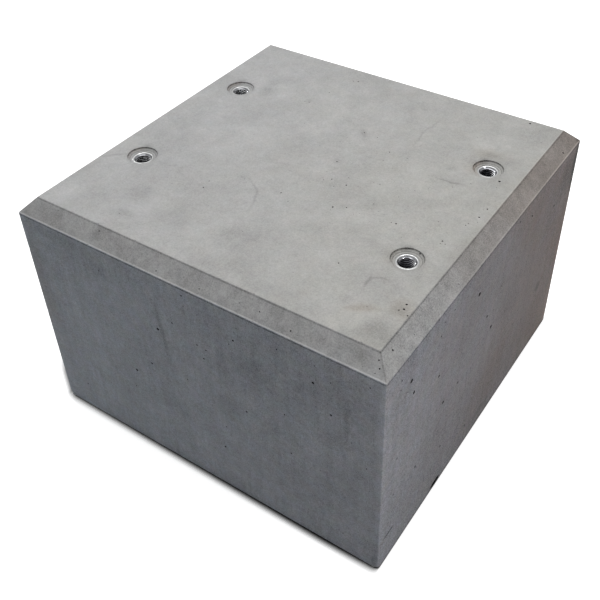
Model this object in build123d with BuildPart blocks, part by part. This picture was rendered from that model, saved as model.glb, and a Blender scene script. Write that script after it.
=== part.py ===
from build123d import *
from math import radians, tan
import os

# Precast concrete pier block for a deck post, with four threaded sockets cast into its top.
# Millimetres. +Z is up, and the origin is the middle of the underside.
# X runs along the long side of the rectangle of sockets.

# Concrete body
BLOCK_LENGTH = 400.0
BLOCK_WIDTH = 400.0
BLOCK_HEIGHT = 270.0
# Leg of the flat 45 degree strip round the top
TOP_CHAMFER = 15.0
FOOT_CHAMFER = 2.0
# Arris taken off the upright edges and off the mitres between the strips
ARRIS = 1.5

# Places of the sockets: in from the two ends, and apart across the block
SOCKET_INSET = 50.0
SOCKET_SPACING = 160.0

# Dished seat in the concrete round each socket, with a sloping wall
SEAT_DEPTH = 3.0
SEAT_LEDGE = 2.4
SEAT_SLOPE = 2.0

# Socket: a turned steel bar, drilled and tapped M16 from the top.
# The bore has the diameter of the thread's crests.
SOCKET_DIAMETER = 21.3
BORE_DIAMETER = 13.8
BORE_DEPTH = 40.0
LEAD_IN = 2.0
DRILL_POINT_ANGLE = 118.0
WALL_OVER_PIN = 9.0
WALL_UNDER_PIN = 7.0
SOCKET_FOOT_CHAMFER = 1.0

# Cross pin, pressed through the foot of each socket and buried in the concrete
PIN_DIAMETER = 10.0
PIN_LENGTH = 80.0

# Worked out from the sizes above. A socket's own origin is the middle of its rim.
bore_radius = BORE_DIAMETER / 2
drill_point = bore_radius / tan(radians(DRILL_POINT_ANGLE / 2))
pin_drop = BORE_DEPTH + drill_point + WALL_OVER_PIN + PIN_DIAMETER / 2
socket_length = pin_drop + PIN_DIAMETER / 2 + WALL_UNDER_PIN
seat_floor_radius = SOCKET_DIAMETER / 2 + SEAT_LEDGE
rim_height = BLOCK_HEIGHT - SEAT_DEPTH
socket_x = BLOCK_LENGTH / 2 - SOCKET_INSET
socket_y = SOCKET_SPACING / 2
SOCKET_PLACES = {
    "front_left": (-socket_x, -socket_y),
    "front_right": (socket_x, -socket_y),
    "back_left": (-socket_x, socket_y),
    "back_right": (socket_x, socket_y),
}


def runs_up_a_corner(edge):
    """True for an upright edge, and for a mitre, where two of the flat strips meet."""
    along = edge % 0.5
    return abs(along.Z) > 0.1


# Round bar that the socket is turned from: this is also the hole that it leaves in the concrete
with BuildPart() as socket_bar:
    Cylinder(SOCKET_DIAMETER / 2, socket_length, align=(Align.CENTER, Align.CENTER, Align.MAX))
    chamfer(socket_bar.faces().sort_by(Axis.Z)[0].edges(), SOCKET_FOOT_CHAMFER)

# Cross pin along Y, the way that has the most concrete round it
with BuildPart() as pin:
    with BuildSketch(Plane.XZ):
        with Locations((0, -pin_drop)):
            Circle(PIN_DIAMETER / 2)
    extrude(amount=PIN_LENGTH / 2, both=True)

# Socket: blind bore with a conical lead-in and the drill's point, and a cross hole for the pin
with BuildPart() as socket:
    add(socket_bar.part)
    with BuildSketch(Plane.XZ):
        with BuildLine():
            Polyline(
                (0, 0),
                (bore_radius + LEAD_IN, 0),
                (bore_radius, -LEAD_IN),
                (bore_radius, -BORE_DEPTH),
                (0, -BORE_DEPTH - drill_point),
                close=True,
            )
        make_face()
    revolve(axis=Axis.Z, mode=Mode.SUBTRACT)
    add(pin.part, mode=Mode.SUBTRACT)

# Concrete, cast with its top down, so the seats are the prints of the plates that held the sockets
with BuildPart() as block:
    with BuildSketch():
        Rectangle(BLOCK_LENGTH, BLOCK_WIDTH)
    extrude(amount=BLOCK_HEIGHT)
    chamfer(block.faces().sort_by(Axis.Z)[-1].edges(), TOP_CHAMFER)
    chamfer(block.faces().sort_by(Axis.Z)[0].edges(), FOOT_CHAMFER)
    chamfer(block.edges().filter_by(runs_up_a_corner), ARRIS)
    with Locations(*[(x, y, rim_height) for x, y in SOCKET_PLACES.values()]):
        Cone(
            seat_floor_radius,
            seat_floor_radius + SEAT_SLOPE,
            SEAT_DEPTH,
            align=(Align.CENTER, Align.CENTER, Align.MIN),
            mode=Mode.SUBTRACT,
        )
        add(socket_bar.part, mode=Mode.SUBTRACT)
        add(pin.part, mode=Mode.SUBTRACT)

os.makedirs("parts", exist_ok=True)

block.part.label = "concrete_block"
export_step(block.part, "parts/concrete_block.step")

for corner, (x, y) in SOCKET_PLACES.items():
    with BuildPart() as placed_socket:
        with Locations((x, y, rim_height)):
            add(socket.part)
    placed_socket.part.label = f"threaded_socket_{corner}"
    export_step(placed_socket.part, f"parts/threaded_socket_{corner}.step")

    with BuildPart() as placed_pin:
        with Locations((x, y, rim_height)):
            add(pin.part)
    placed_pin.part.label = f"cross_pin_{corner}"
    export_step(placed_pin.part, f"parts/cross_pin_{corner}.step")
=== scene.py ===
# %% [markdown]
# # A precast pier block, with its sockets and its pores
#
# The real object is one casting: concrete is poured into a steel mould that stands upside down, on four
# threaded sockets that are screwed to the mould's floor. Struck from the mould and turned over, it has smooth
# flat faces, crisp edges, a shallow seat round each socket and, here and there, the pore of an air bubble.
#
# The CAD model is loaded first and stays as it is. Everything below is made in the same frame, in metres.

import bpy
import bmesh
import random
from math import cos, pi, radians, sin, tan
from mathutils import Matrix, Vector


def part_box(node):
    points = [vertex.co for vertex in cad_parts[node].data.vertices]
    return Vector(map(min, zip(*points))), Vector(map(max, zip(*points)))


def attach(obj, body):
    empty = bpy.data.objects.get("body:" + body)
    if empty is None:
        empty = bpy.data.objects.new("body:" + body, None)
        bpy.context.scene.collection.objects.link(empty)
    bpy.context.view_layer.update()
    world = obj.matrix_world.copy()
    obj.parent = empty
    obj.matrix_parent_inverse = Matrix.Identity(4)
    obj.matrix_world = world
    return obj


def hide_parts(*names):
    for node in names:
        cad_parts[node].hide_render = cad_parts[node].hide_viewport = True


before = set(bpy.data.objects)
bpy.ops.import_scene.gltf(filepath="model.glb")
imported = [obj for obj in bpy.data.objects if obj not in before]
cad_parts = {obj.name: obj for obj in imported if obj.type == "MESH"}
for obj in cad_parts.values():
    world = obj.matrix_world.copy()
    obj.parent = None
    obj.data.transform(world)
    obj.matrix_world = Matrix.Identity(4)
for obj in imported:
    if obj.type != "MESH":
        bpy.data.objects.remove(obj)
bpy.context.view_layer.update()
MM = 0.001
SOCKETS = ("front_left", "front_right", "back_left", "back_right")
print("nodes:", sorted(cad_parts))

# %% Read the sizes off the CAD nodes
block_lo, block_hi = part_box("concrete_block")
side = block_hi.x - block_lo.x
height = block_hi.z
socket_at = {}
for corner in SOCKETS:
    lo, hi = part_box(f"threaded_socket_{corner}")
    socket_at[corner] = Vector(((lo.x + hi.x) / 2, (lo.y + hi.y) / 2, hi.z))
    bar_radius = (hi.x - lo.x) / 2
    bar_length = hi.z - lo.z
pin_lo, pin_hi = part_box("cross_pin_front_left")
pin_radius = (pin_hi.x - pin_lo.x) / 2
pin_length = pin_hi.y - pin_lo.y
pin_drop = socket_at["front_left"].z - (pin_hi.z + pin_lo.z) / 2
seat_depth = height - socket_at["front_left"].z
print("block", side, height, "socket", bar_radius, bar_length, "pin", pin_radius, pin_length, pin_drop)

# %% [markdown]
# ## The camera
#
# A photo's camera can be found from straight edges: the block is a square box, so the places of its corners in
# the picture fix where the lens was. The angles below came from such a fit. The picture was cropped after it
# was taken, so the lens axis isn't in the middle of the frame, and the camera's shift takes that up.

# %% Set the camera
camera_data = bpy.data.cameras.new("photo_camera")
camera = bpy.data.objects.new("photo_camera", camera_data)
bpy.context.scene.collection.objects.link(camera)
bpy.context.scene.camera = camera
camera_place = Matrix.Translation((0.40325, -0.58393, 0.73859))
camera_turn = Matrix.Rotation(radians(34.078), 4, "Z")
camera_tilt = Matrix.Rotation(radians(90 - 39.644), 4, "X")
camera_roll = Matrix.Rotation(radians(-1.078), 4, "Z")
camera.matrix_world = camera_place @ camera_turn @ camera_tilt @ camera_roll
camera_data.sensor_width = 36
camera_data.lens = 51.84
camera_data.shift_x = -0.0356
camera_data.shift_y = -0.0740
camera_data.clip_start = 0.01
camera_data.clip_end = 50
print("camera", camera.matrix_world.translation)

# %% [markdown]
# ## Small helpers
#
# Colours are picked as on a screen, in sRGB hex, but a shader works with light, so one function turns a hex
# value into linear red, green and blue. A second one adds a node to a material and wires it up, so that a
# pattern reads from top to bottom like a recipe. The others are patterns of several nodes that come back.

# %% Colour and node helpers
def linear(hex_colour):
    """A colour such as "AEAEAC" as linear red, green, blue and alpha."""
    shares = [int(hex_colour[i:i + 2], 16) / 255 for i in (0, 2, 4)]
    return [s / 12.92 if s <= 0.04045 else ((s + 0.055) / 1.055) ** 2.4 for s in shares] + [1.0]


def add_node(tree, kind, sockets=None, operation=None, **settings):
    """Add a shader node. sockets gives each named or numbered input a value, a hex colour, or what feeds it.

    What feeds it is an output, or a whole node, for the first of its outputs that is in use.
    "From" and "To" give the two ends of a range at once. A Mix with inputs 6 and 7 mixes colours.
    """
    made = tree.nodes.new("ShaderNode" + kind)
    sockets = sockets or {}
    if operation:
        made.operation = operation
    if kind == "Mix" and 7 in sockets:
        made.data_type = "RGBA"
    for name, value in settings.items():
        setattr(made, name, value)
    for name, value in sockets.items():
        if isinstance(value, bpy.types.Node):
            value = next(output for output in value.outputs if output.enabled)
        if isinstance(value, bpy.types.NodeSocket):
            tree.links.new(value, made.inputs[name])
        elif name in ("From", "To"):
            made.inputs[name + " Min"].default_value, made.inputs[name + " Max"].default_value = value
        else:
            made.inputs[name].default_value = linear(value) if isinstance(value, str) else value
    return made


def new_material(name):
    """An empty material and its node tree, with only the output left in it."""
    material = bpy.data.materials.new(name)
    material.use_nodes = True
    material.node_tree.nodes.clear()
    return material, material.node_tree


def near(tree, value, level, full, reach, **settings):
    """A line: 1 where value is within full of level, and 0 from reach on."""
    off = add_node(tree, "Math", {0: value, 1: level}, "SUBTRACT")
    off = add_node(tree, "Math", {0: off}, "ABSOLUTE")
    return add_node(tree, "MapRange", {"Value": off, "From": (reach, full)}, **settings)


def end_material(tree, height, strength, distance, inputs):
    """The last three nodes of a material: the relief, the shader with these inputs, and the output."""
    bump = add_node(tree, "Bump", {"Strength": strength, "Distance": distance, "Height": height})
    surface = add_node(tree, "BsdfPrincipled", {**inputs, "Normal": bump})
    add_node(tree, "OutputMaterial", {"Surface": surface})


def swing(tree, place, scale, detail, roughness=0.5):
    """Noise about zero. Its largest features are some 1 / scale metres wide."""
    noise = add_node(
        tree, "TexNoise", {"Vector": place, "Scale": scale, "Detail": detail, "Roughness": roughness})
    return add_node(tree, "Math", {0: noise, 1: 0.5}, "SUBTRACT")


def seen_by_camera(tree):
    """1 for the camera's own rays, also by way of a mirror or glass, and 0 for light that bounces about."""
    rays = add_node(tree, "LightPath")
    seen = add_node(tree, "Math", {0: rays.outputs["Is Camera Ray"], 1: rays.outputs["Is Glossy Ray"]})
    return add_node(tree, "Math", {0: seen, 1: rays.outputs["Is Transmission Ray"]}, use_clamp=True)


print("helpers ready, mid grey is", [round(c, 3) for c in linear("808080")])

# %% [markdown]
# ## Studio light
#
# The photo was taken under soft light from above: the top is by far the brightest face. A smaller lamp on the
# right puts one bright dot in the lead-in of every socket, and a long narrow one makes the thread glint. The
# world sends a dim even light to the block and shows plain white to the camera and to reflections, so the
# background is white with no extra light.

# %% The lamps and the world
def soft_lamp(name, place, size, power):
    """An area lamp that is size metres long and wide, turned towards the middle of the block's top."""
    data = bpy.data.lights.new(name, "AREA")
    data.shape = "RECTANGLE"
    data.size, data.size_y = size
    data.energy = power
    lamp = bpy.data.objects.new(name, data)
    bpy.context.scene.collection.objects.link(lamp)
    lamp.location = place
    lamp.rotation_euler = (Vector((0, 0, height)) - Vector(place)).to_track_quat("-Z", "Y").to_euler()


soft_lamp("ceiling_softbox", (-0.12, 0.14, 1.95), (1.5, 1.5), 18.6)
soft_lamp("side_lamp", (1.05, -0.12, 1.25), (0.11, 0.11), 3.2)
soft_lamp("tall_lamp", (-1.14, 0.40, 1.25), (0.04, 1.4), 3.1)

world = bpy.data.worlds.new("studio")
bpy.context.scene.world = world
world.use_nodes = True
sky = world.node_tree
sky.nodes.clear()
dim = add_node(sky, "Background", {"Color": "FFFFFF", "Strength": 0.33})
white = add_node(sky, "Background", {"Color": "FFFFFF", "Strength": 1.0})
both = add_node(sky, "MixShader", {0: seen_by_camera(sky), 1: dim, 2: white})
add_node(sky, "OutputWorld", {"Surface": both})

bpy.context.scene.view_settings.view_transform = "Standard"

# %% [markdown]
# ## The floor
#
# The floor has two jobs. To the camera it is white paper with a painted shadow at the block's foot and a
# soft painted shadow on its left. To the light that bounces off it, it is a mid grey, as a workshop floor is,
# so the sides of the block stay darker than the top. Light Path tells the two apart.

# %% The floor
bpy.ops.object.select_all(action="DESELECT")
bpy.ops.mesh.primitive_plane_add(size=12, location=(0, 0, 0))
floor = bpy.context.object
floor.name = "studio_floor"

paper, tree = new_material("white_paper_floor")
# A painted shadow at the block's foot, drawn from ambient occlusion, reaches 10 mm out.
# On the right it is left out by position, as the lamp there would wash it out.
corner_shade = add_node(tree, "AmbientOcclusion", {"Distance": 10 * MM}, samples=16)
shade = add_node(
    tree, "MapRange", {"Value": corner_shade.outputs["AO"], "From": (0.50, 0.93), "To": (0.02, 1.0)})
spot = add_node(tree, "TexCoord").outputs["Object"]
x, y, _ = add_node(tree, "SeparateXYZ", {0: spot}).outputs
# It is deeper towards the right end of the front, but not at the corner itself
depth = add_node(tree, "MapRange", {"Value": x, "From": (-side / 2, side / 2), "To": (0.9, 2.1)})
at_corner = add_node(tree, "MapRange", {"Value": x, "From": (0.14, 0.19), "To": (1.0, 0.55)})
depth = add_node(tree, "Math", {0: depth, 1: at_corner}, "MULTIPLY")
shade = add_node(tree, "Math", {0: shade, 1: depth}, "POWER")
# On the left lies a painted soft shadow 60 mm wide. Its front border runs from the corner to the left and back.
beside = add_node(
    tree, "MapRange", {"Value": x, "From": (-side / 2 - 60 * MM, -side / 2 - 28 * MM)},
    interpolation_type="SMOOTHSTEP")
left_gap = add_node(tree, "MapRange", {"Value": x, "From": (-side / 2 + 3 * MM, -side / 2 - 3 * MM)})
BORDER_SLOPE = 0.635
border = add_node(tree, "Math", {0: x, 1: BORDER_SLOPE, 2: y}, "MULTIPLY_ADD")
corner_value = -side / 2 * (1 + BORDER_SLOPE)
painted_left_shadow = add_node(
    tree, "MapRange",
    {"Value": border, "From": (corner_value - 7 * MM, corner_value + 1 * MM), "To": (0.0, 0.72)},
    interpolation_type="SMOOTHSTEP")
not_behind = add_node(
    tree, "MapRange", {"Value": border, "From": (corner_value + 40 * MM, corner_value + 8 * MM)},
    interpolation_type="SMOOTHSTEP")
for limit in (left_gap, beside, not_behind):
    painted_left_shadow = add_node(tree, "Math", {0: painted_left_shadow, 1: limit}, "MULTIPLY")
unshaded = add_node(tree, "Math", {0: 1.0, 1: painted_left_shadow}, "SUBTRACT")
shade = add_node(tree, "Math", {0: shade, 1: unshaded}, "MULTIPLY")
lit_side = add_node(tree, "MapRange", {"Value": x, "From": (side / 2, side / 2 + 1 * MM)})
shade = add_node(tree, "Mix", {0: lit_side, 2: shade, 3: 1.0})
paper_tone = add_node(tree, "Mix", {0: shade, 6: "000000", 7: "F2F2F2"})
matt = add_node(tree, "BsdfDiffuse", {"Color": paper_tone})
glow = add_node(tree, "Emission", {"Color": paper_tone, "Strength": 0.75})
shown = add_node(tree, "AddShader", {0: matt, 1: glow})
bounced = add_node(tree, "BsdfDiffuse", {"Color": "8F8F8F"})
both = add_node(tree, "MixShader", {0: seen_by_camera(tree), 1: bounced, 2: shown})
add_node(tree, "OutputMaterial", {"Surface": both})
floor.data.materials.append(paper)
print("floor", floor.dimensions)

# %% [markdown]
# ## Modelling helpers
#
# Round parts are drawn up ring by ring, as on a lathe: a filled circle is extruded to the next height and
# scaled to the next radius. A ring list reads like a turner's drawing. Cutting one shape out of another is a
# Boolean modifier, applied at once. After each cut the mesh is tested: if it is closed, each edge has two
# faces.

# %% Helpers for the modelling
def deselect_all():
    bpy.ops.object.select_all(action="DESELECT")


def make_active(piece):
    deselect_all()
    piece.select_set(True)
    bpy.context.view_layer.objects.active = piece


def turned(name, rings, sides=96):
    """A closed round shape round the Z axis. rings lists (radius, height) in millimetres, from the foot on."""
    deselect_all()
    radius, level = rings[0]
    bpy.ops.mesh.primitive_circle_add(
        vertices=sides, radius=radius * MM, fill_type="NGON", location=(0, 0, level * MM))
    piece = bpy.context.object
    piece.name = name
    bpy.ops.object.transform_apply()
    bpy.ops.object.mode_set(mode="EDIT")
    bpy.ops.mesh.select_all(action="SELECT")
    for next_radius, next_level in rings[1:]:
        rise = (next_level - level) * MM
        bpy.ops.mesh.extrude_region_move(TRANSFORM_OT_translate={"value": (0, 0, rise)})
        share = next_radius / radius
        if share > 0:
            bpy.ops.transform.resize(value=(share, share, 1), center_override=(0, 0, next_level * MM))
            radius = next_radius
        else:
            bpy.ops.mesh.merge(type="CENTER")
        level = next_level
    bpy.ops.mesh.select_all(action="SELECT")
    bpy.ops.mesh.normals_make_consistent(inside=False)
    bpy.ops.object.mode_set(mode="OBJECT")
    return piece


def open_edges(piece):
    """How many edges don't have exactly two faces: none on a closed mesh."""
    mesh = bmesh.new()
    mesh.from_mesh(piece.data)
    count = sum(1 for edge in mesh.edges if not edge.is_manifold)
    mesh.free()
    return count


def cut(piece, tool):
    """Cut tool out of piece, and take the tool away."""
    make_active(piece)
    boolean = piece.modifiers.new("cut", "BOOLEAN")
    boolean.operation = "DIFFERENCE"
    boolean.solver = "EXACT"
    boolean.object = tool
    bpy.ops.object.modifier_apply(modifier=boolean.name)
    bpy.data.objects.remove(tool, do_unlink=True)
    print(piece.name, "has", len(piece.data.polygons), "faces and", open_edges(piece), "open edges")


def own_copy(piece):
    """A copy with a mesh of its own."""
    copy = piece.copy()
    copy.data = piece.data.copy()
    bpy.context.scene.collection.objects.link(copy)
    return copy


def bar_along_y(radius, length, place):
    deselect_all()
    bpy.ops.mesh.primitive_cylinder_add(
        vertices=48, radius=radius, depth=length, location=place, rotation=(pi / 2, 0, 0))
    return bpy.context.object


def joined(name, parts):
    """Several objects as one, with their places taken into the mesh."""
    deselect_all()
    for part in parts:
        part.select_set(True)
    bpy.context.view_layer.objects.active = parts[0]
    bpy.ops.object.join()
    whole = bpy.context.object
    whole.name = name
    bpy.ops.object.transform_apply()
    return whole


print("modelling helpers ready")

# %% [markdown]
# ## The casting
#
# The mould is a steel box with a strip welded into its bottom corner, which leaves the flat 45 degree band
# round the top of the block. A cube with bevelled edges gives just that. The band and the foot are bevelled
# with one segment, because the strips are flat. Then every edge gets a small round, because wet concrete
# never fills a corner quite sharp, and because that thin line of light makes an edge look real.

# %% The cast body
def pick_edges(wanted):
    """In edit mode, select the edges for which wanted(edge) is true, and no others."""
    bpy.ops.mesh.select_mode(type="EDGE")
    bpy.ops.mesh.select_all(action="DESELECT")
    mesh = bmesh.from_edit_mesh(bpy.context.edit_object.data)
    chosen = [edge for edge in mesh.edges if wanted(edge)]
    for edge in chosen:
        edge.select_set(True)
    bmesh.update_edit_mesh(bpy.context.edit_object.data)
    return len(chosen)


STRIP = 15 * MM
FOOT = 1 * MM
CORNER = 7.5 * MM
EDGE_ROUND = 0.6 * MM

deselect_all()
bpy.ops.mesh.primitive_cube_add(size=1, location=(0, 0, height / 2), scale=(side, side, height))
casting = bpy.context.object
casting.name = "casting"
bpy.ops.object.transform_apply()
bpy.ops.object.mode_set(mode="EDIT")
top_edges = pick_edges(lambda edge: all(v.co.z > height - FOOT for v in edge.verts))
bpy.ops.mesh.bevel(offset=STRIP, offset_type="OFFSET", segments=1, affect="EDGES")
pick_edges(lambda edge: all(v.co.z < FOOT for v in edge.verts))
bpy.ops.mesh.bevel(offset=CORNER, offset_type="OFFSET", segments=3, profile=0.5, affect="VERTICES")
foot_edges = pick_edges(lambda edge: all(v.co.z < FOOT for v in edge.verts))
bpy.ops.mesh.bevel(offset=FOOT, offset_type="OFFSET", segments=1, affect="EDGES")
bpy.ops.mesh.select_all(action="SELECT")
bpy.ops.mesh.bevel(offset=EDGE_ROUND, offset_type="OFFSET", segments=3, profile=0.5, affect="EDGES")
bpy.ops.object.mode_set(mode="OBJECT")
# The small bevels bulge a little where they meet on the rounded foot corners: bring them back onto the box
for vertex in casting.data.vertices:
    vertex.co.x = max(-side / 2, min(side / 2, vertex.co.x))
    vertex.co.y = max(-side / 2, min(side / 2, vertex.co.y))
    vertex.co.z = max(0.0, vertex.co.z)
print("bevelled", top_edges, foot_edges, "edges; open edges", open_edges(casting))

# %% [markdown]
# ## Seats and cavities
#
# A round plate held each socket to the mould's floor, and its print is the seat: a ledge round the socket that
# curves up into a steep wall. The socket and its cross pin fill the cavity below. One turned tool cuts the
# seat and the cavity together, and a plain round bar cuts the place of the pin.

# %% Cut the seats and the cavities
bar = bar_radius / MM
foot_level = -bar_length / MM
lip = seat_depth / MM
SEAT_TOOL = [(bar - 1, foot_level), (bar, foot_level + 1), (bar, 0.0), (12.5, 0.0), (12.7, 0.06),
             (14.55, 1.70), (14.85, 2.10), (14.93, 2.86), (15.00, 2.97), (15.10, 3.02), (15.12, lip + 2)]

seat_tools = []
for corner in SOCKETS:
    tool = turned(f"seat_tool_{corner}", SEAT_TOOL)
    tool.location = socket_at[corner]
    seat_tools.append(tool)
cut(casting, joined("seat_tools", seat_tools))

down_to_pin = Vector((0, 0, pin_drop))
pin_tools = [bar_along_y(pin_radius, pin_length, socket_at[corner] - down_to_pin) for corner in SOCKETS]
cut(casting, joined("pin_tools", pin_tools))

# %% [markdown]
# ## Pores, nicks and a chip
#
# Air that is trapped against the mould leaves pores, from pinpricks to bubbles of four millimetres. They are
# real holes here, so they hold shadow from every side, and they are deeper than wide, with an overhanging
# edge, as a bubble that just touched the steel. One bubble is modelled and copied. The ones that the photo
# shows are placed one by one, and the sides that it doesn't show get the same kind by chance, from a fixed
# seed.

# %% One bubble, and a way to place it
SEED = 11
chance = random.Random(SEED)

deselect_all()
bpy.ops.mesh.primitive_uv_sphere_add(segments=8, ring_count=6, radius=1)
bubble = bpy.context.object
bubble.name = "bubble"
deselect_all()
bpy.ops.mesh.primitive_ico_sphere_add(subdivisions=3, radius=1)
lump = bpy.context.object
lump.name = "broken_lump"
for shape, roughness in ((bubble, 0.10), (lump, 0.07)):
    make_active(shape)
    bpy.ops.object.mode_set(mode="EDIT")
    bpy.ops.mesh.select_all(action="SELECT")
    bpy.ops.transform.vertex_random(offset=roughness, uniform=1.0, normal=0.0, seed=3)
    bpy.ops.object.mode_set(mode="OBJECT")

# A face's frame: where its middle is, and the directions of its width and its height
HALF = side / 2 / MM
TOP = height / MM
FACES = {
    "top": (Vector((0, 0, TOP)), Vector((1, 0, 0)), Vector((0, 1, 0))),
    "front": (Vector((0, -HALF, 0)), Vector((1, 0, 0)), Vector((0, 0, 1))),
    "right": (Vector((HALF, 0, 0)), Vector((0, 1, 0)), Vector((0, 0, 1))),
    "back": (Vector((0, HALF, 0)), Vector((-1, 0, 0)), Vector((0, 0, 1))),
    "left": (Vector((-HALF, 0, 0)), Vector((0, -1, 0)), Vector((0, 0, 1))),
}
taken = []


def hollow(tool, face, across, up, width, long=1.0, turn=None, depth=None):
    """A copy of tool sunk into a face, with a mouth this many millimetres wide. None if its place is taken."""
    middle, wide, high = FACES[face]
    out = wide.cross(high)
    place = middle + wide * across + high * up
    reach = width * max(long, 1.0) * 0.75
    if any((place - other).length < reach + room for other, room in taken):
        return None
    taken.append((place, reach))
    depth = depth or width * chance.uniform(0.75, 1.0)
    spin = radians(chance.uniform(0, 360) if turn is None else turn)
    axis_a = wide * cos(spin) + high * sin(spin)
    axis_b = out.cross(axis_a)
    # The middle lies below the face, so the widest part is inside and the mouth is a bit narrower
    half = width * 0.58
    turn_and_size = Matrix((axis_a * half * long, axis_b * half, out * depth * 0.6)).transposed().to_4x4()
    sunk = Matrix.Translation(place - out * depth * 0.3)
    copy = own_copy(tool)
    copy.matrix_world = Matrix.Scale(MM, 4) @ sunk @ turn_and_size
    return copy


print("bubble has", len(bubble.data.polygons), "faces, lump", len(lump.data.polygons))

# %% The chip and the scratch
# A chip 19 mm long is broken out of the foot of the right face. A short scratch is near its front corner.
pores = [hollow(lump, "right", -87, 4.0, 5.4, long=3.5, turn=3, depth=8.0),
         hollow(bubble, "right", -182.5, 38.5, 1.8, long=10.5, turn=0, depth=2.8)]
print("chip and scratch:", pores)

# %% The pores that the photo shows
# Each entry is (across, up, width of the mouth) in millimetres, across from the middle of the face.
# On the upright faces "up" is from the floor.
SEEN = {
    "top": [(151, 179, 2.3), (-47, 162, 1.5), (-52, 160, 1.0), (-68, 95, 1.2), (-73, 94, 0.9), (-61, 124, 0.9),
            (55, 55, 1.3), (20, 13, 1.3), (49, -16, 1.6), (32, -15, 1.3), (57, -52, 1.8), (68, -46, 1.2),
            (118, -43, 1.6), (164, -43, 1.6), (168, 66, 2.4), (177, -130, 1.9), (178, -136, 2.0),
            (175, -139, 1.4), (184, -141, 1.3), (104, -116, 1.3), (177, 20, 1.5), (176, 5, 1.6),
            (-63, -91, 1.4), (4, -59, 1.3), (-65, -80, 1.2), (171, -12, 1.1), (40, -24, 0.9), (26, -20, 0.9),
            (86, -28, 1.0), (75, 2, 0.9), (-21, 89, 0.8), (31, 72, 1.0), (15, 73, 1.2), (-79, 10, 0.8),
            (-10, 28, 0.8), (145, 66, 1.0)],
    "front": [(-1, 246, 1.5), (98, 236, 1.2), (52, 221, 1.7), (133, 217, 2.0), (-38, 187, 2.5), (9, 192, 1.3),
              (19, 191, 1.3), (15, 178, 1.5), (150, 188, 1.8), (59, 134, 1.6), (-55, 132, 1.9), (-79, 109, 2.5),
              (-10, 136, 1.2), (27, 62, 1.9), (32, 95, 1.2), (107, 108, 1.3), (102, 158, 1.2), (13, 50, 1.2),
              (-85, 82, 1.0), (-165, 37, 1.4), (-18, 205, 1.4), (-102, 228, 1.2), (185, 142, 1.2),
              (186, 243, 1.2), (150, 227, 1.0), (21, 30, 1.0), (162, 28, 1.0), (170, 166, 0.9), (47, 214, 1.0),
              (135, 238, 0.9), (57, 238, 0.9), (54, 232, 0.9)],
    "right": [(-158, 220, 3.2), (-152, 201, 2.7), (-32, 217, 3.2), (-108, 228, 1.6), (-85, 240, 1.3),
              (-104, 176, 2.2), (-4, 167, 2.2), (11, 141, 2.8), (-88, 126, 2.8), (-58, 125, 2.0),
              (-137, 85, 2.0), (-84, 57, 2.0), (-178, 91, 1.5), (-24, 27, 2.1), (150, 202, 1.8),
              (-175, 139, 1.5), (-175, 236, 1.1), (-103, 240, 1.1), (49, 246, 1.5), (-165, 213, 1.1),
              (46, 135, 1.0), (24, 185, 1.1), (-153, 33, 1.0), (-176, 226, 1.0)],
}
WIDER = {"top": 1.0, "front": 1.22, "right": 1.35}
for face, places in SEEN.items():
    for across, up, width in places:
        pores.append(hollow(bubble, face, across, up, width * WIDER[face]))
# One pore opens in the sloping wall of the front right seat
radial = Vector((5.1, 13.4, 0)).normalized()
upward = Vector((0, 0, 1))
on_wall = socket_at["front_right"] / MM + radial * 14.1 + upward * 1.4
FACES["seat_wall"] = (on_wall, radial.cross(upward), (radial + upward).normalized())
pores.append(hollow(bubble, "seat_wall", 0, 0, 1.5))
# One long pore high on the right face
pores.append(hollow(bubble, "right", 82, 232, 1.7, long=2.4, turn=-35))
print("pores placed by hand:", len(pores))

# %% Pores on the 45 degree strip
# The strip's middle line is half its leg in and down from the block's corner. Up is up the slope.
half_strip = STRIP / MM / 2
for face, across_way, inwards in (("front", (1, 0, 0), (0, 1, 0)), ("right", (0, 1, 0), (-1, 0, 0)),
                                  ("back", (-1, 0, 0), (0, -1, 0)), ("left", (0, -1, 0), (1, 0, 0))):
    inwards = Vector(inwards)
    middle = Vector((0, 0, TOP - half_strip)) - inwards * (HALF - half_strip)
    FACES[face + "_strip"] = (middle, Vector(across_way), (inwards + Vector((0, 0, 1))).normalized())
for across, up, width in [(-103, 4.8, 1.4), (-30, -6.1, 1.2), (17, -4.6, 1.1), (58, -1, 0.9), (78, -0.8, 1.1),
                          (110, -4.2, 1.4), (187, 3.6, 1.2), (190, -2.0, 1.3), (188, -6.4, 0.9)]:
    pores.append(hollow(bubble, "front_strip", across, up, width))
for across, up, width in [(-175, 3.0, 1.7), (-74, -5.2, 1.0), (124, 2.4, 1.0), (161, -4.4, 2.0)]:
    pores.append(hollow(bubble, "right_strip", across, up, width))
print("pores with the strips:", len(pores))

# %% Pinpricks, and the sides that the photo doesn't show
# No small pore opens closer to the middle of a socket than this
CLEAR = 22


def clear_of_sockets(across, up):
    return all((Vector((across, up)) - socket_at[corner].xy / MM).length > CLEAR for corner in SOCKETS)


def strew(face, count, widths, across_span, up_span):
    """Up to count bubbles by chance, with widths that lean to the small end of the span."""
    for _ in range(count):
        across = chance.uniform(*across_span)
        up = chance.uniform(*up_span)
        width = widths[0] + (widths[1] - widths[0]) * chance.random() ** 2.5
        if face != "top" or clear_of_sockets(across, up):
            pores.append(hollow(bubble, face, across, up, width))


strew("top", 80, (0.45, 0.9), (0, 182), (-75, 60))
strew("top", 50, (0.45, 0.8), (-182, 182), (-182, 182))
for face in ("front", "right", "back", "left"):
    strew(face, 60, (0.5, 1.0), (-195, 195), (6, 250))
    strew(face + "_strip", 14, (0.5, 0.9), (-182, 182), (-8, 8))
for face in ("back", "left"):
    strew(face, 30, (1.0, 2.8), (-192, 192), (8, 248))
    strew(face + "_strip", 5, (0.9, 1.5), (-182, 182), (-7, 7))
pores = [pore for pore in pores if pore]
print("pores in all:", len(pores))

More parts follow.
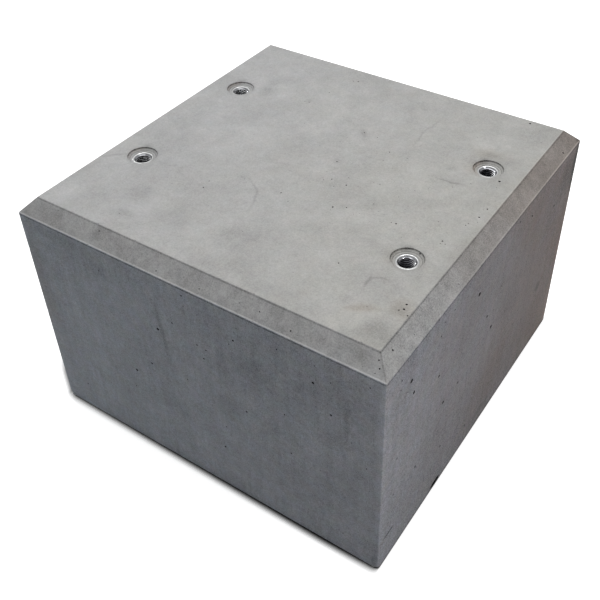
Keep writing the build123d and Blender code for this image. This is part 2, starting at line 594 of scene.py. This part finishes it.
# %% Nicks along the edges
# Handling knocks small flakes off the edges. A fresh break is as pale as the skin, so it keeps its finish.
nicks = []
NICKS_PER_EDGE = 5
LEVEL_EDGES = [("front", 255), ("right", 255), ("back", 255), ("left", 255), ("top", 185), ("top", -185)]
for face, edge_up in LEVEL_EDGES:
    for _ in range(NICKS_PER_EDGE):
        nicks.append(hollow(
            bubble, face, chance.uniform(-192, 192), edge_up, chance.uniform(0.6, 1.2),
            long=chance.uniform(1.2, 2.2), turn=0))
for face in ("front", "right", "back", "left"):
    for _ in range(NICKS_PER_EDGE):
        nicks.append(hollow(
            bubble, face, HALF, chance.uniform(6, 250), chance.uniform(0.8, 1.6),
            long=chance.uniform(1.2, 2.2), turn=90))
nicks = [nick for nick in nicks if nick]
print("nicks:", len(nicks))

# %% Cut them all out of the casting
# The inside of a pore was never smoothed by the steel, and dust settles in it, so it has a finish of its own.
# Faces that a tool leaves behind take the tool's material number: 0 is the skin, 1 the inside of a pore.
# The dark colour of a pore's inside is partly dust and partly painted shade.
concrete, concrete_tree = new_material("formed_concrete")
pore_inside, pore_tree = new_material("pore_inside")
casting.data.materials.append(concrete)
casting.data.materials.append(pore_inside)
pore_tools = joined("pore_tools", pores)
nick_tools = joined("nick_tools", nicks)
for tools, number in ((pore_tools, 1), (nick_tools, 0)):
    tools.data.materials.append(concrete)
    tools.data.materials.append(pore_inside)
    for polygon in tools.data.polygons:
        polygon.material_index = number
    cut(casting, tools)
bpy.data.objects.remove(bubble, do_unlink=True)
bpy.data.objects.remove(lump, do_unlink=True)

# %% Smooth the rounded edges and name the piece
make_active(casting)
bpy.ops.object.shade_smooth_by_angle(angle=radians(32))
casting.name = "cast_concrete"
casting.data.name = "cast_concrete"
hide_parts("concrete_block")
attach(casting, "root")
print("casting: inside faces", sum(1 for p in casting.data.polygons if p.material_index == 1))

# %% [markdown]
# ## A threaded socket
#
# The socket is turned from round bar: faced, drilled blind, given a lead-in for the bolt and tapped. The ring
# list below follows the tools: up the outside, over the rounded lip, down the lead-in and the bore, and into
# the drill's point. The lips are rounded, because those two thin rings are what shines in the photo.

# %% Turn the socket
BORE = 6.9
LIP = 8.9
BORE_DEPTH = 40.0
POINT_DEPTH = BORE_DEPTH + BORE / tan(radians(59))
SOCKET_RINGS = [(bar - 1, foot_level), (bar, foot_level + 1), (bar, -0.40), (bar - 0.12, -0.12),
                (bar - 0.40, 0.0), (LIP + 0.35, 0.0), (LIP + 0.15, -0.04), (LIP, -0.15), (LIP - 0.12, -0.32),
                (BORE, -2.2), (BORE, -BORE_DEPTH), (0.0, -POINT_DEPTH)]
socket = turned("socket", SOCKET_RINGS)
print("socket before the tap:", len(socket.data.polygons), "faces,", open_edges(socket), "open edges")

# %% [markdown]
# ## The thread
#
# An M16 thread has a pitch of 2 mm and sides at 60 degrees. A tap cuts it, and a tap can be made here too: one
# tooth is a flat four-cornered outline, and the Screw modifier winds it up the bore. Wound upwards and
# anticlockwise it is right-handed. Its ends are closed, and it is cut out of the socket like any other tool.

# %% Make the tap and cut the thread
PITCH = 2.0
ROOT = 8.0
TURNS = 19
STEPS_A_TURN = 48
tooth_base = BORE - 0.2
half_tip = 0.125
half_base = half_tip + (ROOT - tooth_base) * tan(radians(30))

deselect_all()
bpy.ops.mesh.primitive_plane_add(size=1, rotation=(pi / 2, 0, 0))
tap = bpy.context.object
tap.name = "tap"
tap.scale = ((ROOT - tooth_base) * MM, 2 * half_base * MM, 1)
tap.location = ((ROOT + tooth_base) / 2 * MM, 0, (-BORE_DEPTH + 2) * MM)
bpy.ops.object.transform_apply()
bpy.ops.object.mode_set(mode="EDIT")
pick_edges(lambda edge: all(v.co.x > (ROOT - 0.1) * MM for v in edge.verts))
bpy.ops.transform.resize(
    value=(1, 1, half_tip / half_base), center_override=(ROOT * MM, 0, (-BORE_DEPTH + 2) * MM))
bpy.ops.mesh.select_all(action="SELECT")
bpy.ops.mesh.delete(type="ONLY_FACE")
bpy.ops.object.mode_set(mode="OBJECT")
winding = tap.modifiers.new("winding", "SCREW")
winding.axis = "Z"
winding.angle = 2 * pi
winding.screw_offset = PITCH * MM
winding.iterations = TURNS
winding.steps = STEPS_A_TURN
winding.render_steps = STEPS_A_TURN
bpy.ops.object.modifier_apply(modifier=winding.name)
bpy.ops.object.mode_set(mode="EDIT")
bpy.ops.mesh.select_all(action="SELECT")
bpy.ops.mesh.fill_holes(sides=4)
bpy.ops.mesh.normals_make_consistent(inside=False)
bpy.ops.object.mode_set(mode="OBJECT")
print("tap:", len(tap.data.polygons), "faces,", open_edges(tap), "open edges")
cut(socket, tap)

# %% Drill the cross hole
drill = bar_along_y(pin_radius, 3 * bar_radius, -down_to_pin)
bpy.ops.object.transform_apply()
cut(socket, drill)
make_active(socket)
bpy.ops.object.shade_smooth_by_angle(angle=radians(28))

# %% [markdown]
# ## Turned steel with a zinc finish
#
# The sockets are bright zinc plated steel that has dulled. A lathe leaves fine rings, so the grain follows the
# distance from the socket's own axis. All four stand at the same distances from the middle of the block, so
# the absolute values of X and Y fold them onto one, and one pattern serves all four.

# %% The sockets' finish
zinc, tree = new_material("zinc_plated_turned_steel")
spot = add_node(tree, "TexCoord").outputs["Object"]
folded = add_node(tree, "VectorMath", {0: spot}, "ABSOLUTE")
centred = add_node(tree, "VectorMath", {0: folded, 1: socket_at["back_right"]}, "SUBTRACT")
flat = add_node(tree, "VectorMath", {0: centred, 1: (1, 1, 0)}, "MULTIPLY")
radius = add_node(tree, "VectorMath", {0: flat}, "LENGTH")
down = add_node(tree, "SeparateXYZ", {0: centred}).outputs["Z"]

# Lathe marks 0.3 mm apart: the real ones are finer, and would not show
ring_place = add_node(tree, "CombineXYZ", {"X": radius, "Y": down})
lathe = add_node(tree, "TexNoise", {"Vector": ring_place, "Scale": 3300, "Detail": 2})
blotch = add_node(tree, "TexNoise", {"Vector": spot, "Scale": 350, "Detail": 4})
fine = add_node(tree, "TexNoise", {"Vector": spot, "Scale": 2500, "Detail": 2})

# The lip is rubbed bright by bolts. The lead-in below it is dull and grimy. The bore is painted dark, and
# darker
# still with depth: painted shade, with some grime.
bright = near(tree, radius, (LIP + 0.08) * MM, 0.13 * MM, 0.29 * MM)
in_lead, in_bore, deep_shade = [
    add_node(tree, "MapRange", {"Value": down, "From": (start * MM, full * MM)})
    for start, full in ((-0.45, -0.70), (-2.0, -3.0), (-6.0, -13.0))]
dull = add_node(tree, "Mix", {0: blotch, 6: "969796", 7: "B8B9B8"})
# The bore's painted shade and grime are lighter in the sockets that stand farther to the back left
less_bore_shade = add_node(tree, "VectorMath", {0: spot, 1: (-0.83, 0.56, 0)}, "DOT_PRODUCT")
less_bore_shade = add_node(tree, "MapRange", {"Value": less_bore_shade, "From": (30 * MM, 165 * MM)})
thread_shade = add_node(tree, "Mix", {0: less_bore_shade, 6: "4A4B4F", 7: "F4F5F7"})
depth_shade = add_node(tree, "Mix", {0: less_bore_shade, 6: "1C1D1F", 7: "B8B9BB"})
# A painted glint: the crests of the thread on the right wall of each bore are painted near white
facing = add_node(tree, "NewGeometry")
right_wall = add_node(tree, "VectorMath", {0: facing.outputs["Normal"], 1: (-0.83, -0.56, 0)}, "DOT_PRODUCT")
right_wall = add_node(tree, "MapRange", {"Value": right_wall, "From": (0.25, 0.6)})
painted_glint = add_node(tree, "MapRange", {"Value": radius, "From": ((BORE + 0.7) * MM, (BORE + 0.3) * MM)})
for limit in (right_wall, in_bore):
    painted_glint = add_node(tree, "Math", {0: painted_glint, 1: limit}, "MULTIPLY")
# Each layer covers the ones before it, where its mask says
steel = dull
for mask, layer in (
    (bright, "DADBDC"), (in_lead, "808184"), (in_bore, thread_shade), (painted_glint, "F2F3F5"), (deep_shade, depth_shade)):
    steel = add_node(tree, "Mix", {0: mask, 6: steel, 7: layer})
gloss = add_node(tree, "MapRange", {"Value": lathe, "From": (0.3, 0.7), "To": (0.24, 0.36)})
# The cutting edges left the lead-in and the thread much smoother than the face
gloss = add_node(tree, "Mix", {0: in_lead, 2: gloss, 3: 0.14})
relief = add_node(tree, "Math", {0: lathe, 1: fine}, "ADD")
end_material(tree, relief, 0.25, 0.04 * MM, {"Base Color": steel, "Metallic": 1.0, "Roughness": gloss})
socket.data.materials.append(zinc)
print("zinc finish:", len(tree.nodes), "nodes")

# %% Set the four sockets
for corner in SOCKETS:
    copy = own_copy(socket)
    copy.name = f"tapped_socket_{corner}"
    copy.data.name = copy.name
    copy.location = socket_at[corner]
    make_active(copy)
    bpy.ops.object.transform_apply()
    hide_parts(f"threaded_socket_{corner}")
    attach(copy, "root")
    print(copy.name, [round(v, 4) for v in socket_at[corner]])
bpy.data.objects.remove(socket, do_unlink=True)

# %% [markdown]
# ## Drawn steel bar
#
# The cross pins are cut from bright drawn bar and disappear in the concrete. Their CAD shape is right, so they
# keep it and get a finish: fine lines along the bar from the drawing die, and a thin grey oxide in patches.

# %% The pins' finish
drawn, tree = new_material("bright_drawn_steel_bar")
spot = add_node(tree, "TexCoord").outputs["Object"]
# Drawing lines run along Y and lie 0.4 mm apart round the bar
stretched = add_node(tree, "Mapping", {"Vector": spot, "Scale": (1, 0.02, 1)})
lines = add_node(tree, "TexNoise", {"Vector": stretched, "Scale": 2500, "Detail": 3})
patches = add_node(tree, "TexNoise", {"Vector": spot, "Scale": 120, "Detail": 4})
tone = add_node(tree, "Mix", {0: patches, 6: "8C8D90", 7: "B9BABC"})
gloss = add_node(tree, "MapRange", {"Value": lines, "From": (0.3, 0.7), "To": (0.28, 0.42)})
end_material(tree, lines, 0.2, 0.03 * MM, {"Base Color": tone, "Metallic": 1.0, "Roughness": gloss})
for corner in SOCKETS:
    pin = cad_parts[f"cross_pin_{corner}"]
    pin.data.materials.clear()
    pin.data.materials.append(drawn)
print("pins finished:", len(SOCKETS))

# %% [markdown]
# ## Formed concrete
#
# Cement paste that set against oiled steel is smooth, dense and pale grey. It is never one flat colour: the
# paste is paler where it dried fast, darker where it stayed damp, bluish in places and brownish in others,
# and the sides carry faint upright streaks from the oil that ran down the mould. The tone is one number that
# starts at 1, and each effect below moves it up or down a little. At the end it multiplies the colour. Some of
# the colours and marks below are painted light and shade, and each says so where it stands.

# %% Concrete: place, faces and colour
tree = concrete_tree
place = add_node(tree, "TexCoord")
spot = place.outputs["Object"]
x, y, z = add_node(tree, "SeparateXYZ", {0: spot}).outputs
facing_x, _, facing_z = add_node(tree, "SeparateXYZ", {0: place.outputs["Normal"]}).outputs
is_top = add_node(tree, "MapRange", {"Value": facing_z, "From": (0.80, 0.95)})
not_side = add_node(tree, "MapRange", {"Value": facing_z, "From": (0.2, 0.6)})
to_right = add_node(tree, "MapRange", {"Value": facing_x, "From": (0.3, 0.6)})

# The walls of the seats count as top. Absolute values of X and Y fold the four sockets onto one.
folded = add_node(tree, "VectorMath", {0: spot}, "ABSOLUTE")
seat_gap = add_node(tree, "VectorMath", {0: folded, 1: socket_at["back_right"]}, "DISTANCE")
in_seat = add_node(tree, "MapRange", {"Value": seat_gap, "From": (17 * MM, 16 * MM)})
off_seat = add_node(tree, "Math", {0: 1.0, 1: in_seat}, "SUBTRACT")
flat = add_node(tree, "MapRange", {"Value": facing_z, "From": (0.98, 0.90)})
on_seat_wall = add_node(tree, "Math", {0: in_seat, 1: flat}, "MULTIPLY")
is_top = add_node(tree, "Math", {0: is_top, 1: in_seat}, "MAXIMUM")

# The top and the front go from bluish to yellowish along X
drift = swing(tree, spot, 9, 3)
along_x = add_node(tree, "MapRange", {"Value": x, "From": (-0.16, 0.22)})
warm = add_node(tree, "Math", {0: along_x, 1: drift}, "ADD", use_clamp=True)
# Each face has its own colour, bluish on the front and darker on the strip: painted light and shade of each
# face
top_colour = add_node(tree, "Mix", {0: warm, 6: "A8A8A8", 7: "A7A6A2"})
front_colour = add_node(tree, "Mix", {0: warm, 6: "A0A6AE", 7: "9FA2A9"})
side_colour = add_node(tree, "Mix", {0: to_right, 6: front_colour, 7: "A0A1A8"})
strip_colour = add_node(tree, "Mix", {0: to_right, 6: "9A9A9A", 7: "A2A2A2"})
colour = add_node(tree, "Mix", {0: not_side, 6: side_colour, 7: strip_colour})
colour = add_node(tree, "Mix", {0: is_top, 6: colour, 7: top_colour})

# The right side turns darker and brownish towards the back: painted shade with a warm painted tint of light
along_y = add_node(tree, "MapRange", {"Value": y, "From": (-0.17, 0.22)})
right_back_shade = add_node(tree, "Math", {0: drift, 1: 0.8, 2: along_y}, "MULTIPLY_ADD", use_clamp=True)
right_back_shade = add_node(tree, "Math", {0: right_back_shade, 1: to_right}, "MULTIPLY")
off_strip = add_node(tree, "MapRange", {"Value": not_side, "To": (1.0, 0.78)})
right_back_shade = add_node(tree, "Math", {0: right_back_shade, 1: off_strip}, "MULTIPLY")
right_back_shade_film = add_node(tree, "Mix", {0: right_back_shade, 6: "FFFFFF", 7: "C2AB9A"})
# Traces of colour in patches some 12 mm wide, stronger on the sides
tints = add_node(tree, "TexNoise", {"Vector": spot, "Scale": 80, "Detail": 4, "Roughness": 0.6})
tints = add_node(tree, "VectorMath", {0: tints.outputs["Color"], 1: (0.5, 0.5, 0.5)}, "SUBTRACT")
tint_strength = add_node(tree, "MapRange", {"Value": not_side, "To": (0.24, 0.07)})
tints = add_node(tree, "VectorMath", {0: tints, "Scale": tint_strength}, "SCALE")
tints = add_node(tree, "VectorMath", {0: tints, 1: (1.0, 0.45, 1.0), 2: (1, 1, 1)}, "MULTIPLY_ADD")
for film in (right_back_shade_film, tints):
    colour = add_node(tree, "Mix", {0: 1.0, 6: colour, 7: film}, blend_type="MULTIPLY")
print("concrete colours set")

# %% Concrete: clouds, streaks and grain
# Measured on the photo, the tone varies about as much at each scale from 60 mm down to 2 mm,
# so one pattern with a high roughness carries them all. It is stronger off the top.
off_top = add_node(tree, "Math", {0: 1.0, 1: is_top}, "SUBTRACT")
clouds = add_node(tree, "TexNoise", {"Vector": spot, "Scale": 16, "Detail": 5, "Roughness": 0.88})
cloud_strength = add_node(tree, "MapRange", {"Value": is_top, "To": (1.45, 0.78)})
cloudy = add_node(tree, "Math", {0: clouds, 1: 0.5}, "SUBTRACT")
tone = add_node(tree, "Math", {0: cloudy, 1: cloud_strength, 2: 1.0}, "MULTIPLY_ADD")

# Sand grain 1.2 mm across. It shows most on the sides, and more on the right one than on the front.
busy = add_node(tree, "MapRange", {"Value": to_right, "To": (1.0, 1.5)})
grain = swing(tree, spot, 820, 2, 0.7)
grain_strength = add_node(tree, "MapRange", {"Value": facing_z, "To": (1.9, 0.62)})
grain_strength = add_node(tree, "Math", {0: grain_strength, 1: busy}, "MULTIPLY")
tone = add_node(tree, "Math", {0: grain, 1: grain_strength, 2: tone}, "MULTIPLY_ADD")

# On the sides, fine mottling some 4 mm across
mottle = swing(tree, spot, 230, 3, 0.75)
side_only = add_node(tree, "Math", {0: 1.0, 1: not_side}, "SUBTRACT")
for share in (side_only, busy):
    mottle = add_node(tree, "Math", {0: mottle, 1: share}, "MULTIPLY")
tone = add_node(tree, "Math", {0: mottle, 1: 0.95, 2: tone}, "MULTIPLY_ADD")

# Upright streaks 10 mm wide, on the sides only
squeezed = add_node(tree, "Mapping", {"Vector": spot, "Scale": (1, 1, 0.07)})
streaks = swing(tree, squeezed, 90, 5, 0.7)
streaks = add_node(tree, "Math", {0: streaks, 1: off_top}, "MULTIPLY")
tone = add_node(tree, "Math", {0: streaks, 1: 0.62, 2: tone}, "MULTIPLY_ADD")
print("clouds, grain and streaks added")

# %% [markdown]
# ## Marks that can be placed
#
# Some marks in the photo have a place of their own: a dark run down the front, pale patches where the paste
# dried, thin arcs where a trowel or a hose lay. Each is an ellipse or part of a ring, given in millimetres.
# The place is shaken a little by noise before it is measured, so no edge is quite smooth.

# %% Ways to draw a mark
shake = add_node(tree, "TexNoise", {"Vector": spot, "Scale": 45, "Detail": 3})
shake = add_node(tree, "VectorMath", {0: shake.outputs["Color"], 1: (0.5, 0.5, 0.5)}, "SUBTRACT")
shaken = add_node(tree, "VectorMath", {0: shake, 1: (0.012, 0.012, 0.012), 2: spot}, "MULTIPLY_ADD")
# How far a mark reaches below its face, in millimetres, and up to how many times its width it is round
DEEP = 9.0
ROUND = 1.85


def patch(face, across, up, half_across, half_up, turn=0.0):
    """1 in the middle of an ellipse on a face, and 0 from its edge on."""
    middle, wide, high = FACES[face]
    place = (middle + wide * across + high * up) * MM
    if face in ("front", "back"):
        size, angles = (half_across, DEEP, half_up), (0, -radians(turn), 0)
    elif face in ("right", "left"):
        size, angles = (DEEP, half_across, half_up), (radians(turn), 0, 0)
    elif face == "front_strip":
        size, angles = (half_across, half_up, DEEP), (radians(45), 0, 0)
    else:
        size, angles = (half_across, half_up, DEEP), (0, 0, radians(turn))
    # A shader holds 255 numbers at a time. A stretched mark takes three of them, a round one takes one.
    if max(half_across, half_up) < ROUND * min(half_across, half_up):
        reach = (half_across * half_up) ** 0.5 * MM
        far = add_node(tree, "VectorMath", {0: shaken, 1: place}, "DISTANCE")
    else:
        reach = 1.0
        local = add_node(
            tree, "Mapping",
            {"Vector": shaken, "Location": place, "Rotation": angles, "Scale": [s * MM for s in size]},
            vector_type="TEXTURE")
        far = add_node(tree, "VectorMath", {0: local}, "LENGTH")
    return add_node(
        tree, "MapRange", {"Value": far, "From": (reach, 0.15 * reach)}, interpolation_type="SMOOTHSTEP")


def arc(across, up, radius, width, limit):
    """Part of a thin ring on the top. limit is the patch that it shows in."""
    middle = (across * MM, up * MM, height)
    far = add_node(tree, "VectorMath", {0: shaken, 1: middle}, "DISTANCE")
    line = near(tree, far, radius * MM, 0.0, width * MM, interpolation_type="SMOOTHSTEP")
    return add_node(tree, "Math", {0: line, 1: limit}, "MULTIPLY")


# %% Draw the marks
# For each face: (across, up, half width, half height, how much lighter or darker, and a turn in degrees)
PATCHES = {
    # First the pale patches of the top, then the smudges, most of them dark
    "top": [
        (98, 38, 22, 42, 0.07, 20), (88, -50, 38, 16, 0.08, 28), (128, 118, 16, 14, 0.07),
        (122, 62, 30, 26, 0.09), (124, 18, 26, 20, 0.05), (15, 152, 26, 22, 0.05), (-60, 60, 24, 20, 0.04),
        (8, 34, 30, 20, 0.03), (-150, -30, 20, 18, 0.03), (-172, -162, 30, 24, 0.11), (20, -30, 60, 40, 0.02),
        (165, 165, 40, 40, -0.07), (40, -172, 90, 18, -0.06), (174, -172, 30, 20, -0.2),
        (112, 172, 24, 14, -0.03), (16, -138, 70, 38, -0.09), (140, -130, 40, 28, -0.06),
        (-50, -128, 40, 30, -0.04), (122, 152, 24, 20, -0.09), (60, 168, 26, 18, -0.05),
        (-120, 122, 20, 18, -0.07), (-182, -92, 18, 18, -0.06),
        (-104, -132, 22, 15, -0.08, 20), (-98, -160, 16, 8, -0.09), (-142, -160, 12, 8, -0.05),
        (-50, -148, 32, 20, -0.04), (-124, 95, 12, 30, -0.1, 12), (-70, 95, 7, 6, -0.1),
        (-12, 85, 9, 6, -0.07), (15, 71, 12, 5, -0.1, -50), (-32, 30, 12, 6, -0.05),
        (-23, -18, 12, 4, -0.05, 25), (20, 13, 7, 5, -0.07), (121, 64, 9, 11, -0.12),
        (142, 104, 18, 9, -0.12, 10), (160, 100, 14, 8, -0.08, -20), (116, 90, 14, 12, 0.08),
        # The four small dark marks just behind the seats, at (141, 93), (-158, -65), (-159, 95) and (144, -68),
        # are painted shade in each seat
        (141, 93, 8, 6, -0.22), (-158, -65, 8, 6, -0.11), (-159, 95, 8, 6, -0.09), (144, -68, 9, 7, -0.19),
        (152, -180, 16, 12, -0.08), (184, -50, 12, 80, -0.05), (108, -78, 22, 7, -0.06, 8),
        (131, -82, 9, 15, -0.06), (133, -150, 8, 6, -0.09), (150, -153, 18, 5, -0.1, 28),
        (176, -136, 10, 16, -0.09), (85, 150, 50, 34, -0.03), (130, 41, 20, 2.6, -0.2, 5),
        (-116, -78, 20, 1.8, -0.07), (-172, -95, 18, 2.8, -0.15, 37), (-41, -58, 8, 4, -0.06, 10),
        (45, 140, 40, 60, -0.02),
    ],
    "front_strip": [(62, 0, 56, 16, 0.11), (168, 0, 26, 10, -0.13), (-158, 0, 44, 14, -0.07)],
    # Runs and patches, and the pale foot: the two long low marks are a painted highlight along the foot's bevel
    "front": [
        (-33, 182, 4.5, 66, -0.24, 5), (-24, 190, 3.5, 36, 0.12, 3), (165, 190, 4.5, 38, -0.24),
        (50, 188, 48, 62, -0.11), (74, 195, 24, 34, -0.12), (-150, 246, 60, 14, -0.1),
        (38, 126, 24, 30, -0.12), (-38, 94, 22, 30, -0.09), (152, 158, 22, 24, -0.08),
        (190, 32, 22, 22, -0.1), (196, 14, 5, 24, -0.15), (-102, 228, 12, 8, -0.08, 20),
        (-120, 165, 62, 74, 0.05), (-158, 3.5, 34, 2.6, 0.2), (168, 5, 22, 2.4, 0.14),
        (150, 60, 72, 60, -0.03),
    ],
    "right": [
        (56, 142, 32, 44, -0.11, -20), (110, 155, 4, 34, -0.08), (158, 128, 5, 20, -0.1),
        (143, 95, 8, 11, -0.34, 20), (153, 142, 9, 7, -0.2), (23, 186, 9, 7, -0.22), (16, 15, 30, 5, -0.18),
        (198, 226, 13, 58, -0.7), (180, 226, 32, 40, -0.3), (152, 190, 24, 56, -0.13),
        # Painted light and shade: the pale marks along the front end are painted light, the broad dark one low
        # on the face is painted shade, and the dark one at the chip, at (-87, -1), is its painted shadow
        (-196, 170, 14, 150, 0.17), (-190, 236, 34, 34, 0.17), (-87, -1, 9, 9, -0.6),
        (-150, 170, 80, 110, 0.1), (0, 10, 260, 120, -0.17),
    ],
    # The back and the left, which the photo doesn't show
    "back": [(-60, 150, 50, 90, -0.07, 10), (90, 120, 60, 60, 0.05)],
    "left": [(-80, 170, 60, 60, 0.05), (70, 120, 50, 80, -0.07, -8), (110, 180, 3.2, 55, -0.1, -3)],
}
PATCH_GAIN = 1.3
for face, marks in PATCHES.items():
    for across, up, half_across, half_up, strength, *turn in marks:
        mark = patch(face, across, up, half_across, half_up, *turn)
        tone = add_node(tree, "Math", {0: mark, 1: strength * PATCH_GAIN, 2: tone}, "MULTIPLY_ADD")
ARCS = [
    # (across, up, radius, width, limit of the patch that it shows in, how much darker)
    (-56, -104, 52.5, 2.4, (-20, -75, 38, 40), -0.12),
    (150, 107, 84, 2.2, (68, 105, 16, 44), -0.09),
    (148, -125, 12.5, 2.6, (143, -122, 17, 15), -0.24),
]
ARC_GAIN = 1.5
for across, up, ring_radius, width, limit, strength in ARCS:
    mark = arc(across, up, ring_radius, width, patch("top", *limit))
    tone = add_node(tree, "Math", {0: mark, 1: strength * ARC_GAIN, 2: tone}, "MULTIPLY_ADD")
print("marks drawn:", sum(len(marks) for marks in PATCHES.values()), "patches and", len(ARCS), "arcs")

# %% Rust and soil
# A little rust has washed out round the back right socket, and soil sits in some of the smudges.
# For each place: (face, across, up, half width, half height, how brown, and a turn in degrees)
BROWN = [
    ("front", -194, 150, 16, 120, 0.9), ("top", 143, 76, 19, 20, 0.9), ("top", 140, 104, 30, 16, 0.6, 10),
    ("top", 176, -136, 14, 22, 0.9), ("top", 150, -153, 22, 8, 0.8, 28), ("top", 186, 70, 8, 110, 0.25),
    ("top", 136, -86, 14, 18, 0.4), ("top", 184, -40, 8, 60, 0.2),
]
soil = 0.0
for face, across, up, half_across, half_up, strength, *turn in BROWN:
    mark = patch(face, across, up, half_across, half_up, *turn)
    soil = add_node(tree, "Math", {0: mark, 1: strength, 2: soil}, "MULTIPLY_ADD")
soil = add_node(tree, "Math", {0: soil, 1: 1.0}, "MINIMUM")
soiled = add_node(tree, "Mix", {0: soil, 6: "FFFFFF", 7: "FAF5F0"})
colour = add_node(tree, "Mix", {0: 1.0, 6: colour, 7: soiled}, blend_type="MULTIPLY")
print("brown places:", len(BROWN))

# %% Grime and painted shade in and round the seats
# All four sockets are folded onto one, as in their own finish.
# The darker halo round each seat is grime and painted shade
halo = add_node(
    tree, "MapRange", {"Value": seat_gap, "From": (20 * MM, 15 * MM)}, interpolation_type="SMOOTHSTEP")
tone = add_node(tree, "Math", {0: halo, 1: -0.07, 2: tone}, "MULTIPLY_ADD")
# Dark lines in the crease at the foot of the wall and under its top edge are painted shade with some dirt:
# (height over the ledge, reach, tone)
over = add_node(tree, "Math", {0: z, 1: height - seat_depth}, "SUBTRACT")
for level, reach, strength in ((0.15, 0.5, -0.30), (2.3, 0.95, -0.48)):
    line = near(tree, over, level * MM, reach * 0.5 * MM, reach * MM)
    line = add_node(tree, "Math", {0: line, 1: on_seat_wall}, "MULTIPLY")
    tone = add_node(tree, "Math", {0: line, 1: strength, 2: tone}, "MULTIPLY_ADD")

# %% Lines along the edges
# Grout seeps in beside the mould's strip, and both its edges show a dark hairline. The lower one also gets a
# pale line, a painted highlight along the edge. On the right side the pale line shows only at the far end,
# where the upper edge turns pale as well.
far_right = add_node(tree, "Math", {0: along_y, 1: to_right}, "MULTIPLY")
low_weight = add_node(tree, "Math", {0: far_right, 1: 1.5, 2: 1.0}, "MULTIPLY_ADD")
low_weight = add_node(tree, "Math", {0: low_weight, 1: to_right}, "SUBTRACT")
high_weight = add_node(tree, "Math", {0: to_right, 1: 0.25, 2: 1.0}, "MULTIPLY_ADD")
high_weight = add_node(tree, "Math", {0: far_right, 1: -0.5, 2: high_weight}, "MULTIPLY_ADD")
EDGE_LINES = [(height - STRIP + 0.3 * MM, 0.9 * MM, 0.82, low_weight),
              (height - STRIP - 1.7 * MM, 1.2 * MM, -0.58, 1.0),
              (height - 0.9 * MM, 0.7 * MM, -0.38, high_weight)]
for level, reach, strength, weight in EDGE_LINES:
    line = near(tree, z, level, 0.0, reach)
    for share in (off_seat, weight):
        line = add_node(tree, "Math", {0: line, 1: share}, "MULTIPLY")
    tone = add_node(tree, "Math", {0: line, 1: strength, 2: tone}, "MULTIPLY_ADD")
# The right rim of the top turns pale towards its far end
rim = near(tree, x, side / 2 - STRIP - 0.4 * MM, 0.0, 0.9 * MM)
rim_tone = add_node(tree, "MapRange", {"Value": y, "From": (-0.06, 0.06), "To": (0.0, 0.17)})
rim = add_node(tree, "Math", {0: rim, 1: is_top}, "MULTIPLY")
rim = add_node(tree, "Math", {0: rim, 1: rim_tone, 2: 1.0}, "MULTIPLY_ADD")
tone = add_node(tree, "Math", {0: tone, 1: rim}, "MULTIPLY")
# The upright edges are painted a little paler, a painted highlight along the arris, and a dark hairline follows
# each mitre of the strip
far_x, far_y, _ = add_node(tree, "SeparateXYZ", {0: folded}).outputs
mitre = near(tree, far_x, far_y, 0.3 * MM, 1.5 * MM)
mitre = add_node(tree, "Math", {0: mitre, 1: off_top}, "MULTIPLY")
arris_highlight_and_hairline = add_node(
    tree, "MapRange",
    {"Value": z, "From": (height - STRIP, height - STRIP + 1 * MM), "To": (0.20, -0.34)})
tone = add_node(tree, "Math", {0: mitre, 1: arris_highlight_and_hairline, 2: tone}, "MULTIPLY_ADD")
# The foot is painted pale, most of all at the left end of the front: painted light on a bevel that faces down
# into shade
painted_foot_light = add_node(tree, "MapRange", {"Value": z, "From": (2.4 * MM, 0.9 * MM)})
to_left = add_node(tree, "MapRange", {"Value": x, "From": (-0.20, -0.02), "To": (0.7, 0.4)})
tone = add_node(tree, "Math", {0: painted_foot_light, 1: to_left, 2: tone}, "MULTIPLY_ADD")
print("seat grime and edge lines added")

# %% Concrete: put it together
painted = add_node(tree, "VectorMath", {0: colour, "Scale": tone}, "SCALE")
skin = add_node(tree, "TexNoise", {"Vector": spot, "Scale": 700, "Detail": 4, "Roughness": 0.65})
rough = add_node(tree, "MapRange", {"Value": clouds, "From": (0.3, 0.7), "To": (0.60, 0.80)})
end_material(tree, skin, 0.35, 0.15 * MM, {
    "Base Color": painted, "IOR": 1.5, "Specular IOR Level": 0.25, "Roughness": rough})
print("formed concrete:", len(tree.nodes), "nodes")

# %% The inside of a pore
tree = pore_tree
spot = add_node(tree, "TexCoord").outputs["Object"]
dust = add_node(tree, "TexNoise", {"Vector": spot, "Scale": 900, "Detail": 3})
# Dust and painted shade: the inside of a pore is much darker than the skin
tone = add_node(tree, "Mix", {0: dust, 6: "2A2A2B", 7: "545453"})
# The chip at the foot of the right face is painted near black: its painted shadow
from_chip = add_node(tree, "VectorMath", {0: spot, 1: (0.2, -0.087, 0)}, "DISTANCE")
outside_chip_shadow = add_node(tree, "MapRange", {"Value": from_chip, "From": (14 * MM, 20 * MM)})
tone = add_node(tree, "Mix", {0: outside_chip_shadow, 6: "0A0A0A", 7: tone})
end_material(tree, dust, 0.5, 0.15 * MM, {
    "Base Color": tone, "IOR": 1.5, "Specular IOR Level": 0.15, "Roughness": 0.9})
print("pore inside:", len(tree.nodes), "nodes")

# %% Finish
deselect_all()
